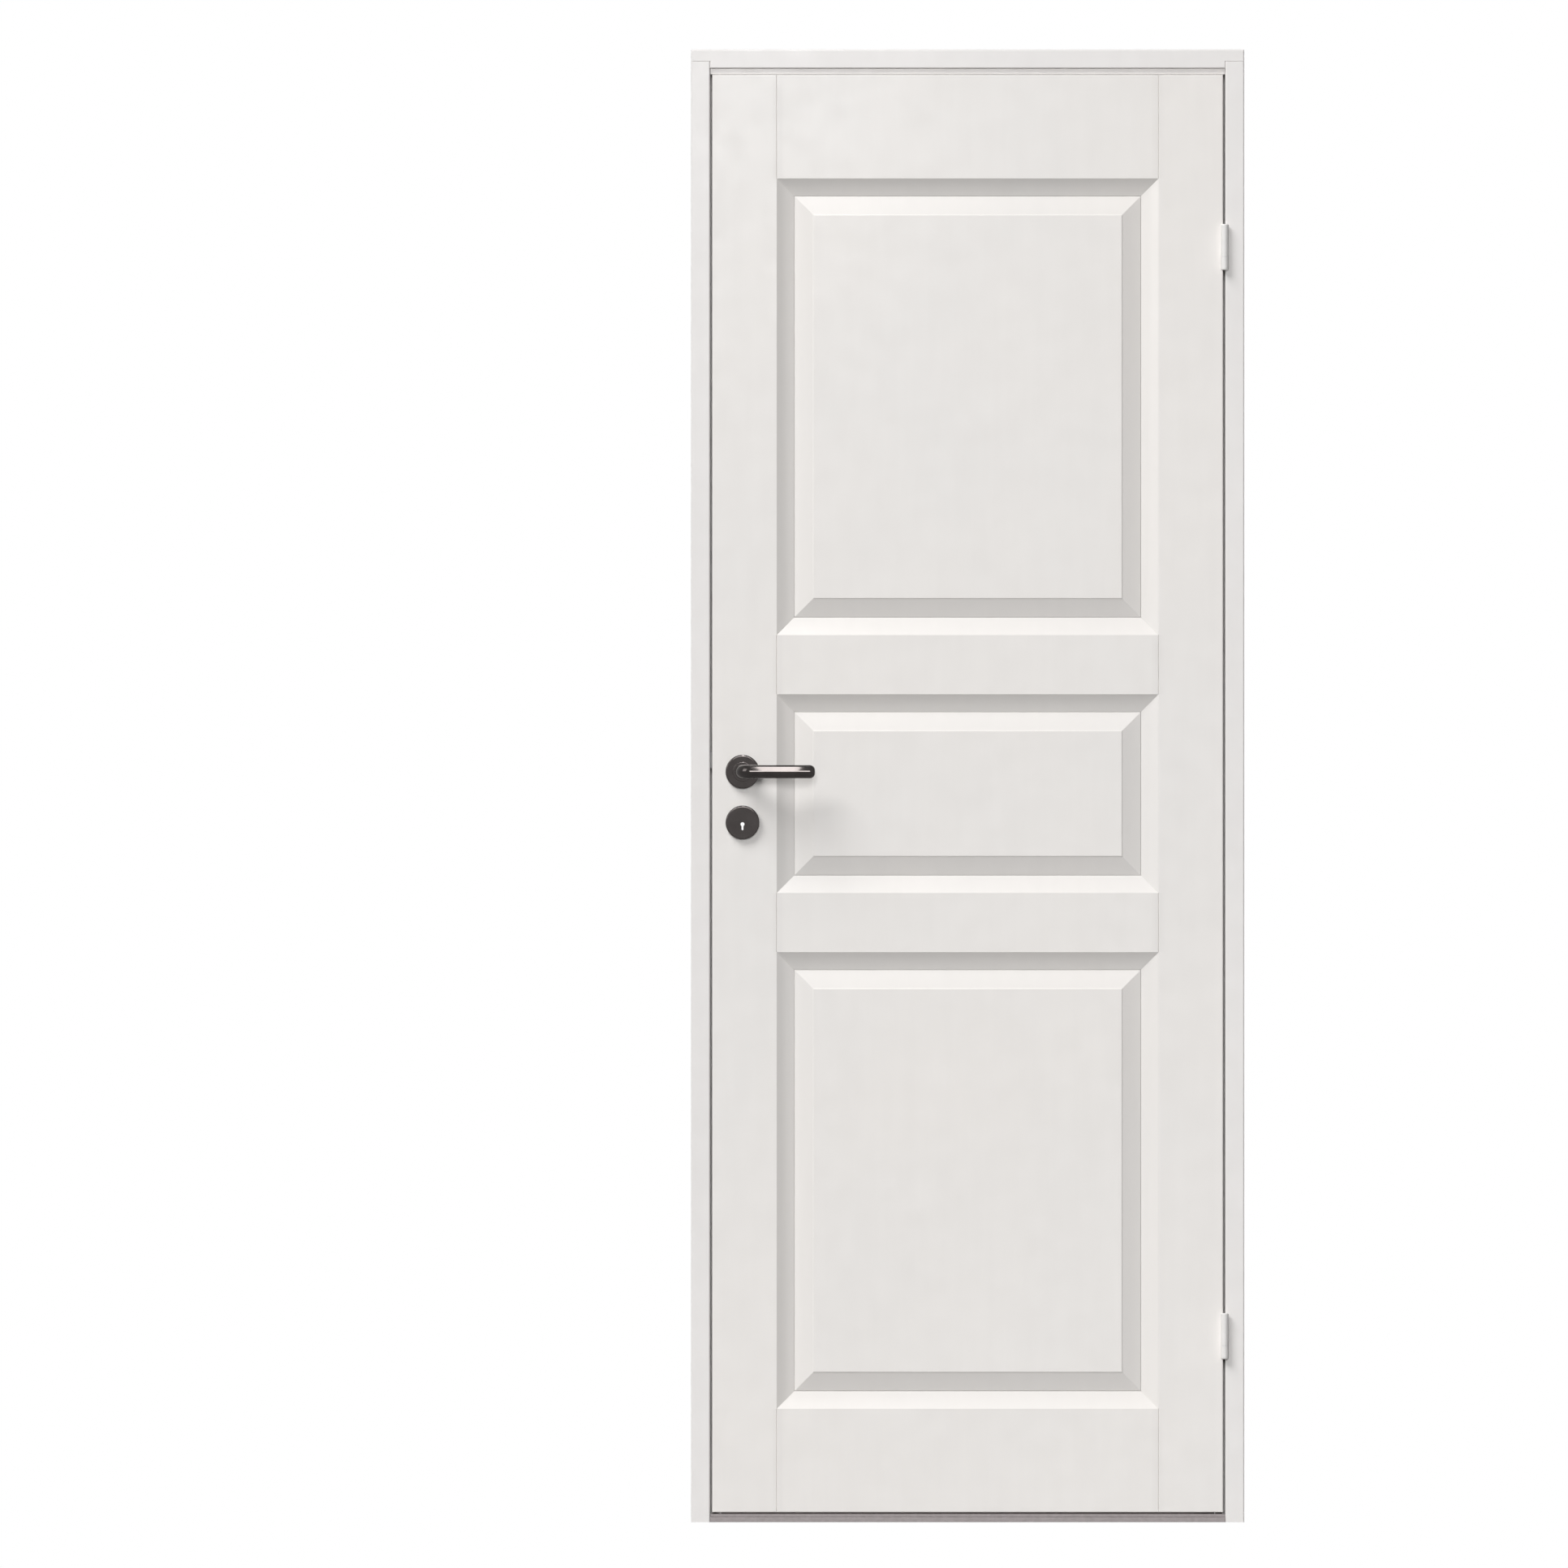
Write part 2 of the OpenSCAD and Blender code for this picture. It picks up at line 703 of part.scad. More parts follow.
module frame_head() {
    color(white) difference() {
        intersection() {
            through_x(-frame_x, frame_x) {
                round_rect([frame_y0, rebate_z], [frame_y1, frame_z], frame_round);
                round_rect([stop_y, stop_z], [frame_y1, frame_z], frame_round);
            }
            through_z(0, frame_z + cut) round_rect([-frame_x, frame_y0], [frame_x, frame_y1], frame_round);
        }
        for (side = [-1, 1]) scale([side, 1, 1]) {
            translate([stop_x, frame_y0 - cut, 0]) cube([frame_x, frame_d + 2 * cut, rebate_z]);
            translate([rebate_x, frame_y0 - cut, 0]) cube([frame_x, frame_d + 2 * cut, lap_z]);
            translate([rebate_x, frame_y0, 0]) head_joint_groove();
        }
        through_x(-frame_x, frame_x) translate([stop_y - cut, stop_z + seal_inset - seal_stem / 2]) {
            square([seal_groove + cut, seal_stem]);
        }
        corner_screws(fit_gap);
    }
}

// A strip under the head, just clear of the leaf's top and set back behind its face
module head_gap_strip() {
    y0 = frame_y0 + gap_strip_back;
    color(white) through_x(-rebate_x + slide_gap, rebate_x - slide_gap) {
        translate([y0, leaf_z1 + gap_strip_air]) square([gap_strip_d, head_gap - gap_strip_air]);
    }
}

// Screws through the feet of the jambs into the ends of the threshold
module sill_screws(gap) {
    for (side = [-1, 1], y = [frame_y0 + frame_d / 4, frame_y1 - frame_d / 4]) {
        translate([side * frame_x, y, threshold_h / 2]) rotate([0, 90 * side, 0]) {
            if (gap > 0) {
                countersunk(sill_screw_d, sill_screw_head_d, sill_screw_len, gap);
            } else {
                screw(sill_screw_d, sill_screw_head_d, sill_screw_len);
            }
        }
    }
}

module threshold() {
    color(sill_grey) difference() {
        through_x(-rebate_x, rebate_x) intersection() {
            round_rect([frame_y0, -threshold_h], [frame_y1, threshold_h], threshold_round);
            translate([frame_y0, 0]) square([frame_d, threshold_h]);
        }
        for (side = [-1, 1]) scale([side, 1, 1]) {
            translate([stop_x, stop_y, -cut]) cube([stop_w + cut, frame_d, threshold_h + 2 * cut]);
        }
        sill_screws(fit_gap);
    }
}

// Section of a seal: the stem lies along the second axis and the bulb points back down it
module seal_section() {
    bulb = stop_gap - slide_gap;
    difference() {
        union() {
            translate([-seal_stem / 2, -cut]) square([seal_stem, seal_groove - 0.5 + cut]);
            intersection() {
                circle(bulb);
                translate([-bulb, -bulb]) square([2 * bulb, bulb]);
            }
        }
        translate([0, -bulb / 2]) circle(d = seal_bore_d, $fn = 32);
    }
}

module jamb_seal(side) {
    color(seal_grey) scale([side, 1, 1]) {
        through_z(threshold_h, rebate_z) translate([stop_x + seal_inset, stop_y]) seal_section();
    }
}

module head_seal() {
    color(seal_grey) translate([0, 0, stop_z + seal_inset]) through_x(-stop_x, stop_x) {
        translate([stop_y, 0]) rotate(-90) seal_section();
    }
}

module jamb_sleeves(side) {
    color(steel) scale([side, 1, 1]) for (i = [0:sleeve_count - 1]) {
        translate([rebate_x, sleeve_y, sleeve_low_z + i * sleeve_pitch]) rotate([0, 90, 0]) difference() {
            cylinder(h = frame_face, d = sleeve_d);
            translate([0, 0, -cut]) cylinder(h = frame_face + 2 * cut, d = sleeve_bore_d);
            translate([0, 0, -cut]) cylinder(h = sleeve_seat_h + cut, d = sleeve_seat_d);
        }
    }
}

module hinge_stile() {
    color(white) difference() {
        stile();
        for (z = [lower_hinge_z, upper_hinge_z]) {
            through_x(edge - plate_t, edge + cut) hinge_plate_section(z);
            plate_screws(edge, z, -1, fit_gap);
        }
    }
}

module faceplate_section(gap) {
    z0 = case_z0 - faceplate_over - gap;
    z1 = case_z1 + faceplate_over + gap;
    w = faceplate_w / 2 + gap;
    round_rect([-w, z0], [w, z1], w - 0.01);
}

module faceplate_screws_at(gap) {
    for (z = [case_z0 - faceplate_over + screw_edge, case_z1 + faceplate_over - screw_edge]) {
        translate([-edge, 0, z]) rotate([0, -90, 0]) {
            if (gap > 0) {
                countersunk(screw_d, screw_head_d, screw_len, gap);
            } else {
                screw(screw_d, screw_head_d, screw_len);
            }
        }
    }
}

// Places shapes at the two bolts of a rose whose middle is at height z, in x and z
module rose_bolt_spots(z) {
    for (side = [-1, 1]) translate([lock_x + side * rose_bolt_pitch / 2, z]) children();
}

module lock_stile() {
    bolt_hole_d = rose_bolt_d + 1;
    color(white) difference() {
        mirror([1, 0, 0]) stile();
        through_x(-edge - cut, faceplate_x) faceplate_section(fit_gap);
        faceplate_screws_at(fit_gap);
        translate([faceplate_x - cut, -case_t / 2 - slide_gap, case_z0 - slide_gap]) {
            cube([case_d + cut + slide_gap, case_t + 2 * slide_gap, case_z1 - case_z0 + 2 * slide_gap]);
        }
        through_y(-face - cut, face + cut) {
            translate([lock_x, handle_z]) circle(d = wood_hole_d);
            translate([lock_x, key_axis_z - 2]) circle(d = key_wood_hole_d);
            rose_bolt_spots(handle_z) circle(d = bolt_hole_d);
            rose_bolt_spots(key_z) circle(d = bolt_hole_d);
        }
    }
}

module keyhole_section(air) {
    circle(d = keyhole_d + 2 * air);
    translate([0, -keyhole_slot_len + keyhole_slot_w / 2]) circle(d = keyhole_slot_w + 2 * air);
    translate([-keyhole_slot_w / 2 - air, -keyhole_slot_len + keyhole_slot_w / 2]) {
        square([keyhole_slot_w + 2 * air, keyhole_slot_len - keyhole_slot_w / 2]);
    }
}

// Every hole that the case's two side plates share
module case_holes() {
    translate([lock_x, handle_z]) circle(d = boss_d + 2 * fit_gap);
    translate([lock_x, key_axis_z]) keyhole_section(0.4);
    rose_bolt_spots(handle_z) circle(d = rose_bolt_d + 0.4);
    rose_bolt_spots(key_z) circle(d = rose_bolt_d + 0.4);
}

module lock_case() {
    color(dark_steel) {
        difference() {
            translate([faceplate_x, -case_t / 2, case_z0]) {
                cube([case_d, case_t - case_wall, case_z1 - case_z0]);
            }
            translate([faceplate_x + case_wall, -case_in, case_z0 + case_wall]) {
                cube([case_d - 2 * case_wall, case_t, case_z1 - case_z0 - 2 * case_wall]);
            }
            through_y(-case_t, case_t) case_holes();
            through_x(faceplate_x - cut, faceplate_x + case_wall + cut) {
                bolt_window(latch_z, latch_h, latch_t, slide_gap);
                bolt_window(bolt_z, bolt_h, bolt_t, slide_gap);
            }
        }
        through_y(-case_in - case_wall / 2, case_in) translate([post_x, post_z]) circle(d = post_d);
    }
}

module lock_cover() {
    color(dark_steel) difference() {
        translate([faceplate_x, case_in, case_z0]) cube([case_d, case_wall, case_z1 - case_z0]);
        through_y(-case_t, case_t) case_holes();
    }
}

module lock_faceplate() {
    color(steel) difference() {
        through_x(-edge, faceplate_x) faceplate_section(0);
        through_x(-edge - cut, faceplate_x + cut) {
            bolt_window(latch_z, latch_h, latch_t, slide_gap);
            bolt_window(bolt_z, bolt_h, bolt_t, slide_gap);
        }
        faceplate_screws_at(fit_gap);
    }
}

// The latch bolt: a head bevelled on its closing side, and a tail with a hook for the follower
module latch_bolt() {
    tip_x = -edge - latch_out;
    back_x = -edge + latch_back;
    nose = 2;
    half = latch_t / 2;
    color(steel) {
        through_z(latch_z - latch_h / 2, latch_z + latch_h / 2) {
            polygon([[back_x, -half], [back_x, half], [-edge + cut, half],
                     [tip_x, -half + nose], [tip_x, -half]]);
        }
        translate([back_x - cut, -tail_t / 2, tail_z]) cube([hook_x + hook_t - back_x + cut, tail_t, tail_h]);
        translate([hook_x, -tail_t / 2, handle_z + arm_len - hook_t]) {
            cube([hook_t, tail_t, tail_z + tail_h - handle_z - arm_len + hook_t]);
        }
    }
}

// The dead bolt: a head, and a tail with a guide slot and a notch for the key's bit
module dead_bolt() {
    back_x = -edge + bolt_head_len;
    bottom = bolt_z - bolt_h / 2 + 2 - bolt_tail_drop;
    color(steel) {
        translate([-edge, -bolt_t / 2, bolt_z - bolt_h / 2]) cube([bolt_head_len, bolt_t, bolt_h]);
        through_y(-bolt_tail_t / 2, bolt_tail_t / 2) difference() {
            translate([back_x - cut, bottom]) {
                square([bolt_tail_end - back_x + cut, bolt_z + bolt_h / 2 - 2 - bottom]);
            }
            translate([lock_x + bolt_throw / 2 - notch_w / 2, bottom - cut]) square([notch_w, notch_h + cut]);
            translate([post_x, post_z]) circle(d = post_d + 2 * slide_gap);
            translate([post_x + bolt_throw, post_z]) circle(d = post_d + 2 * slide_gap);
            translate([post_x, post_z - post_d / 2 - slide_gap]) {
                square([bolt_throw, post_d + 2 * slide_gap]);
            }
        }
    }
}

module follower() {
    hole = spindle_w + 2 * fit_gap;
    color(steel) translate([lock_x, 0, handle_z]) difference() {
        union() {
            through_y(-hub_t / 2, hub_t / 2) circle(d = hub_d);
            through_y(-case_t / 2, case_t / 2) circle(d = boss_d);
            through_y(-tail_t / 2, tail_t / 2) {
                translate([0, arm_len]) circle(arm_tip);
                polygon([[-arm_tip - arm_flare, 0], [arm_tip + arm_flare, 0],
                         [arm_tip, arm_len], [-arm_tip, arm_len]]);
            }
        }
        through_y(-case_t, case_t) square(hole, center = true);
    }
}

module spindle() {
    color(steel) translate([lock_x, 0, handle_z]) {
        through_y(-spindle_end, spindle_end) square(spindle_w, center = true);
    }
}

// The lever on the front: a stem through the rose, a tight bend and a straight round bar
module lever() {
    r = lever_d / 2;
    stem_y = -face - stem_air;
    translate([lock_x, 0, handle_z]) difference() {
        union() {
            through_y(bend_y, stem_y) circle(r);
            translate([lever_bend, bend_y, 0]) rotate(180) rotate_extrude(angle = 90) {
                translate([lever_bend, 0]) circle(r);
            }
            translate([lever_bend, bend_y - lever_bend, 0]) rotate([0, 90, 0]) rotate_extrude() {
                turned_rim(r, lever_len - lever_bend, lever_tip_round);
            }
        }
        through_y(-spindle_end - slide_gap, 0) square(spindle_w + 2 * fit_gap, center = true);
        translate([0, -grub_y, -r - cut]) cylinder(h = r + cut, d = grub_d + 2 * fit_gap, $fn = 32);
    }
}

module front_lever() {
    color(dark_chrome) lever();
}

module back_lever() {
    color(dark_chrome) mirror([0, 1, 0]) lever();
}

module lever_grub_screws() {
    sunk = 0.6;
    len = lever_d / 2 - sunk - spindle_w / 2;
    socket = 2.5;
    color(dark_steel) for (side = [-1, 1]) {
        translate([lock_x, side * grub_y, handle_z - spindle_w / 2 - len]) difference() {
            cylinder(h = len, d = grub_d, $fn = 32);
            translate([0, 0, -cut]) cylinder(h = len / 2 + cut, d = socket, $fn = 6);
        }
    }
}

// Turns a rose drawn from z = 0 up so that it stands out of the front face at height z
module on_front(z) {
    translate([lock_x, -face, z]) rotate([90, 0, 0]) children();
}

module handle_rose() {
    bore = lever_d / 2 + slide_gap;
    on_front(handle_z) rotate_extrude() difference() {
        union() {
            turned_rim(rose_d / 2, rose_h, rose_round);
            turned_rim(collar_d / 2, rose_h + collar_h, 0.8);
        }
        translate([-cut, -cut]) square([bore + cut, rose_h + collar_h + 2 * cut]);
        translate([0, -cut]) square([rose_d / 2 - rose_wall, rose_h - rose_wall + cut]);
    }
}

module handle_rose_base() {
    on_front(handle_z) difference() {
        cylinder(h = base_h, d = base_d);
        translate([0, 0, -cut]) cylinder(h = base_h + 2 * cut, d = lever_d + 2 * fit_gap);
        base_bolt_holes();
    }
}

module base_bolt_holes() {
    for (side = [-1, 1]) translate([side * rose_bolt_pitch / 2, 0, -cut]) {
        cylinder(h = base_h + 2 * cut, d = rose_bolt_d + 2 * fit_gap, $fn = 32);
        translate([0, 0, base_h - bolt_head_h + cut]) {
            cylinder(h = bolt_head_h + cut, d = bolt_head_d + 2 * fit_gap, $fn = 32);
        }
    }
}

module key_rose() {
    on_front(key_z) difference() {
        rotate_extrude() difference() {
            turned_rim(rose_d / 2, rose_h, rose_round);
            translate([0, -cut]) square([rose_d / 2 - rose_wall, rose_h - rose_wall + cut]);
        }
        translate([0, -keyhole_offset, 0]) linear_extrude(rose_h + cut) keyhole_section(0);
    }
}

module key_rose_base() {
    on_front(key_z) difference() {
        cylinder(h = base_h, d = base_d);
        translate([0, -keyhole_offset - 2, -cut]) cylinder(h = base_h + 2 * cut, d = key_wood_hole_d);
        base_bolt_holes();
    }
}

// Bolts that draw the front and the back rose bases together through the leaf
module rose_bolts() {
    reach = face + base_h - bolt_head_h;
    color(steel) for (z = [handle_z, key_z], side = [-1, 1]) {
        translate([lock_x + side * rose_bolt_pitch / 2, 0, z]) rotate([90, 0, 0]) difference() {
            union() {
                translate([0, 0, -reach]) cylinder(h = 2 * reach, d = rose_bolt_d, $fn = 32);
                for (end = [-reach - bolt_head_h, reach]) {
                    translate([0, 0, end]) cylinder(h = bolt_head_h, d = bolt_head_d, $fn = 32);
                }
            }
            translate([0, 0, reach + bolt_head_h]) cross_recess(rose_bolt_d);
        }
    }
}

hinge_jamb();
lock_jamb();
frame_head();
head_gap_strip();
threshold();
color(steel) sill_screws(0);  // threshold_screws
jamb_seal(1);  // hinge_jamb_seal
jamb_seal(-1);  // lock_jamb_seal
head_seal();
jamb_sleeves(1);  // hinge_jamb_sleeves
jamb_sleeves(-1);  // lock_jamb_sleeves
color(steel) corner_screws(0);  // frame_corner_screws
hinge_frame_half(upper_hinge_z);  // upper_hinge_frame_half
hinge_frame_half(lower_hinge_z);  // lower_hinge_frame_half
hinge_pin(upper_hinge_z);  // upper_hinge_pin
hinge_pin(lower_hinge_z);  // lower_hinge_pin
color(steel) {  // jamb_hinge_screws
    plate_screws(rebate_x, lower_hinge_z, 1, 0);
    plate_screws(rebate_x, upper_hinge_z, 1, 0);
}
strike_plate();
color(steel) strike_screws_at(0);  // strike_screws
hinge_stile();
lock_stile();
color(white) rail(top_rail_z, top_rail_h, false, true);  // top_rail
color(white) rail(upper_rail_z, middle_rail_h, true, true);  // upper_middle_rail
color(white) rail(lower_rail_z, middle_rail_h, true, true);  // lower_middle_rail
color(white) rail(leaf_z0, bottom_rail_h, true, false);  // bottom_rail
color(white) panel(top_open_z, tall_panel_h);  // top_panel
color(white) panel(middle_open_z, middle_panel_h);  // middle_panel
color(white) panel(bottom_open_z, tall_panel_h);  // bottom_panel
color(beech) dowels(0);  // rail_dowels
hinge_leaf_half(upper_hinge_z);  // upper_hinge_leaf_half
hinge_leaf_half(lower_hinge_z);  // lower_hinge_leaf_half
color(steel) {  // leaf_hinge_screws
    plate_screws(edge, lower_hinge_z, -1, 0);
    plate_screws(edge, upper_hinge_z, -1, 0);
}
lock_case();
lock_cover();
lock_faceplate();
color(steel) faceplate_screws_at(0);  // faceplate_screws
color(dark_chrome) handle_rose();  // front_handle_rose
color(dark_chrome) mirror([0, 1, 0]) handle_rose();  // back_handle_rose
color(nylon) handle_rose_base();  // front_handle_rose_base
color(nylon) mirror([0, 1, 0]) handle_rose_base();  // back_handle_rose_base
color(dark_chrome) key_rose();  // front_key_rose
color(dark_chrome) mirror([0, 1, 0]) key_rose();  // back_key_rose
color(nylon) key_rose_base();  // front_key_rose_base
color(nylon) mirror([0, 1, 0]) key_rose_base();  // back_key_rose_base
rose_bolts();
front_lever();
back_lever();
spindle();
follower();
lever_grub_screws();
latch_bolt();
dead_bolt();
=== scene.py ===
"""Interior door with its frame: materials, fine pieces, studio light and the photograph's camera."""
import json
import math

import bmesh
import bpy
from mathutils import Matrix, Vector


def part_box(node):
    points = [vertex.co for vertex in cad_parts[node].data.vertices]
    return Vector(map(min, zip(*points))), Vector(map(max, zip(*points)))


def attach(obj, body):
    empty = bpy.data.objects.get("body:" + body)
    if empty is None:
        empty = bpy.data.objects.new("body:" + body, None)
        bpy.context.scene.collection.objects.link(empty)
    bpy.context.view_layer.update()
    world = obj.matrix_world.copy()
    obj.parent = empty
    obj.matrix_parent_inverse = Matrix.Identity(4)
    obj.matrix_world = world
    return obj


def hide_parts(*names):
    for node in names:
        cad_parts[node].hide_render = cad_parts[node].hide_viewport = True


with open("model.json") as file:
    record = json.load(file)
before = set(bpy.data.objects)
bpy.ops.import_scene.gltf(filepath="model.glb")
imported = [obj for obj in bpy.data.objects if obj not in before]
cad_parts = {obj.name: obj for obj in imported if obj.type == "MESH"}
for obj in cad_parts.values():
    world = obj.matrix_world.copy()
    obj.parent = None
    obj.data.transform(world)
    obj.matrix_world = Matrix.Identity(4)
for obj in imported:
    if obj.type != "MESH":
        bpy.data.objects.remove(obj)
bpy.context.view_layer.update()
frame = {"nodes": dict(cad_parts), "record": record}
nodes = frame["nodes"]

MM = 0.001

# Places of the CAD model that the looks follow, in metres
STILE_LOW, STILE_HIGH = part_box("hinge_stile")
LEAF_FOOT = STILE_LOW.z
LEAF_TOP = STILE_HIGH.z
LEAF_FACE = STILE_HIGH.y
JOINT_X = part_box("top_rail")[1].x
MOULDING = JOINT_X - STILE_LOW.x
SPINDLE_MIDDLE = sum(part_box("spindle"), Vector()) / 2
LOCK_X = SPINDLE_MIDDLE.x
HANDLE_Z = SPINDLE_MIDDLE.z


def flat_span(rail):
    """The lowest and highest place of a rail's flat face, without the mouldings that it carries."""
    low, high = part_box(rail)
    at_foot = low.z < LEAF_FOOT + MM
    at_top = high.z > LEAF_TOP - MM
    start = low.z if at_foot else low.z + MOULDING
    end = high.z if at_top else high.z - MOULDING
    return start, end


RAILS = ["bottom_rail", "lower_middle_rail", "upper_middle_rail", "top_rail"]
RAIL_SPANS = [flat_span(rail) for rail in RAILS]


def linear(value):
    """An sRGB value from 0 to 255 as a linear one."""
    v = value / 255
    return v / 12.92 if v <= 0.04045 else ((v + 0.055) / 1.055) ** 2.4


def colour(r, g, b):
    return (linear(r), linear(g), linear(b), 1)


def grey(value):
    return (value, value, value, 1)


class Shader:
    """A node material with short ways to add and join nodes."""

    def __init__(self, name, **sockets):
        self.material = bpy.data.materials.new(name)
        self.material.use_nodes = True
        self.tree = self.material.node_tree
        self.tree.nodes.clear()
        out = self.tree.nodes.new("ShaderNodeOutputMaterial")
        self.bsdf = self.tree.nodes.new("ShaderNodeBsdfPrincipled")
        self.join(self.bsdf.outputs["BSDF"], out.inputs["Surface"])
        for key, value in sockets.items():
            self.bsdf.inputs[key.replace("_", " ")].default_value = value
        self.coords = self.tree.nodes.new("ShaderNodeTexCoord").outputs["Object"]
        split = self.tree.nodes.new("ShaderNodeSeparateXYZ")
        self.join(self.coords, split.inputs[0])
        self.x, self.y, self.z = split.outputs

    def join(self, output, socket):
        self.tree.links.new(output, socket)

    def put(self, value, socket):
        """Joins an output to a socket, or sets the socket to a constant."""
        if isinstance(value, bpy.types.NodeSocket):
            self.join(value, socket)
        else:
            socket.default_value = value

    def math(self, operation, *values):
        node = self.tree.nodes.new("ShaderNodeMath")
        node.operation = operation
        for value, socket in zip(values, node.inputs):
            self.put(value, socket)
        return node.outputs[0]

    def band(self, value, start, end):
        """0 at start, 1 at end and smooth between them."""
        node = self.tree.nodes.new("ShaderNodeMapRange")
        node.interpolation_type = "SMOOTHSTEP"
        self.put(value, node.inputs["Value"])
        node.inputs["From Min"].default_value = start
        node.inputs["From Max"].default_value = end
        return node.outputs["Result"]

    def stretch(self, sx, sy, sz):
        """The object's coordinates, scaled on each axis."""
        node = self.tree.nodes.new("ShaderNodeMapping")
        node.inputs["Scale"].default_value = (sx, sy, sz)
        self.join(self.coords, node.inputs["Vector"])
        return node.outputs["Vector"]

    def noise(self, scale, detail, rough=0.5, vector=None, distortion=0.0):
        node = self.tree.nodes.new("ShaderNodeTexNoise")
        node.inputs["Scale"].default_value = scale
        node.inputs["Detail"].default_value = detail
        node.inputs["Roughness"].default_value = rough
        node.inputs["Distortion"].default_value = distortion
        self.join(vector or self.coords, node.inputs["Vector"])
        return node.outputs["Fac"]

    def mix(self, factor, first, second):
        """A colour between the first, where the factor is 0, and the second, where it is 1."""
        node = self.tree.nodes.new("ShaderNodeMix")
        node.data_type = "RGBA"
        self.put(factor, node.inputs["Factor"])
        self.put(first, node.inputs[6])
        self.put(second, node.inputs[7])
        return node.outputs[2]

    def spread(self, value, low, high, start=0.3, end=0.7):
        """Maps a noise's usual span, start to end, to low to high."""
        node = self.tree.nodes.new("ShaderNodeMapRange")
        self.put(value, node.inputs["Value"])
        node.inputs["From Min"].default_value = start
        node.inputs["From Max"].default_value = end
        node.inputs["To Min"].default_value = low
        node.inputs["To Max"].default_value = high
        return node.outputs["Result"]

    def bump(self, height, depth, strength, under=None):
        """Lays a bump of a depth in metres on the surface, over the bump under it."""
        node = self.tree.nodes.new("ShaderNodeBump")
        node.inputs["Strength"].default_value = strength
        node.inputs["Distance"].default_value = depth
        self.put(height, node.inputs["Height"])
        if under is not None:
            self.join(under, node.inputs["Normal"])
        self.join(node.outputs["Normal"], self.bsdf.inputs["Normal"])
        return node.outputs["Normal"]

    def base(self, value):
        self.put(value, self.bsdf.inputs["Base Color"])

    def roughness(self, value):
        self.put(value, self.bsdf.inputs["Roughness"])


# Paint: streaks that darken its tone a little, and painted shade along the joints, both mixed towards this
# colour
STREAK_AND_PAINTED_SHADE = (0.22, 0.20, 0.19, 1)
STREAK_SHADE = 0.018
JOINT_SHADE = 0.05
JOINT_SHIFT = 1.5 * MM
JOINT_CORE = 2 * MM
JOINT_REACH = 11 * MM


def painted_joint_shade(s):
    """Painted shade: JOINT_SHADE where the rails' flat faces meet the stiles, and 0 away from them."""
    aside = s.math("SUBTRACT", s.math("ABSOLUTE", s.x), JOINT_X - JOINT_SHIFT)
    across = s.math("SUBTRACT", 1.0, s.band(s.math("ABSOLUTE", aside), JOINT_CORE, JOINT_REACH))
    rows = 0.0
    for low, high in RAIL_SPANS:
        inside = s.math("MULTIPLY", s.math("GREATER_THAN", s.z, low), s.math("LESS_THAN", s.z, high))
        rows = s.math("ADD", rows, inside)
    return s.math("MULTIPLY", s.math("MULTIPLY", across, rows), JOINT_SHADE)


def paint(name, light, dark, with_joint_shade=False):
    """Satin paint on timber: faint clouds and streaks, roller texture, and painted shade where rails meet
    stiles.
    """
    s = Shader(name, Specular_IOR_Level=0.5, IOR=1.45)
    cloud = s.spread(s.noise(scale=2.3, detail=3.0), low=0, high=1)
    streak = s.noise(scale=9.0, detail=2.0, vector=s.stretch(6, 6, 0.6))
    shade = s.spread(streak, low=0, high=STREAK_SHADE)
    # Painted shade where the rails meet the stiles
    if with_joint_shade:
        shade = s.math("ADD", shade, painted_joint_shade(s))
    s.base(s.mix(shade, s.mix(cloud, light, dark), STREAK_AND_PAINTED_SHADE))
    s.roughness(s.spread(s.noise(scale=35.0, detail=3.0), low=0.35, high=0.42))
    peel = s.bump(s.noise(scale=420.0, detail=2.0, rough=0.55), depth=0.03 * MM, strength=0.55)
    s.bump(s.noise(scale=26.0, detail=2.0), depth=0.35 * MM, strength=0.22, under=peel)
    return s.material


# Metal, coats and bare wood
def metal(name, light, dark, rough, grain_scale, grain_depth, grain=(1, 1, 1)):
    """Metal with a fine grain, which the grain's factors can draw out, and a faint change of tone."""
    s = Shader(name, Metallic=1.0)
    s.base(s.mix(s.spread(s.noise(scale=60.0, detail=3.0), low=0, high=1), light, dark))
    fine = s.noise(grain_scale, detail=3.0, rough=0.6, vector=s.stretch(*grain))
    s.roughness(s.spread(fine, *rough))
    s.bump(fine, grain_depth, strength=0.6)
    return s.material


def dark_metal(name, light, dark):
    """Polished dark metal of the levers and roses."""
    return metal(name, light, dark, rough=(0.04, 0.07), grain_scale=1500.0, grain_depth=0.001 * MM)


def coated(name, light, dark, rough, scale, depth, metallic=0.0):
    """Powder coat, moulded plastic, rubber or dull metal, with the texture of its surface."""
    s = Shader(name, Metallic=metallic)
    s.base(s.mix(s.spread(s.noise(scale / 8, detail=2.0), low=0, high=1), light, dark))
    fine = s.noise(scale, detail=2.0)
    s.roughness(s.spread(fine, *rough))
    s.bump(fine, depth, strength=0.5)
    return s.material


def timber(name, light, dark, fleck_colour):
    """Bare beech: grain along the dowel, with short dark flecks."""
    s = Shader(name, Specular_IOR_Level=0.4)
    grain = s.noise(scale=60.0, detail=5.0, rough=0.6, vector=s.stretch(0.6, 9, 9), distortion=0.6)
    fleck = s.noise(scale=900.0, detail=1.0, vector=s.stretch(0.12, 1, 1))
    tone = s.mix(s.spread(grain, low=0, high=1), light, dark)
    s.base(s.mix(s.spread(fleck, low=0, high=0.45, start=0.56, end=0.7), tone, fleck_colour))
    s.roughness(s.spread(fleck, low=0.5, high=0.7))
    s.bump(grain, depth=0.05 * MM, strength=0.5)
    return s.material
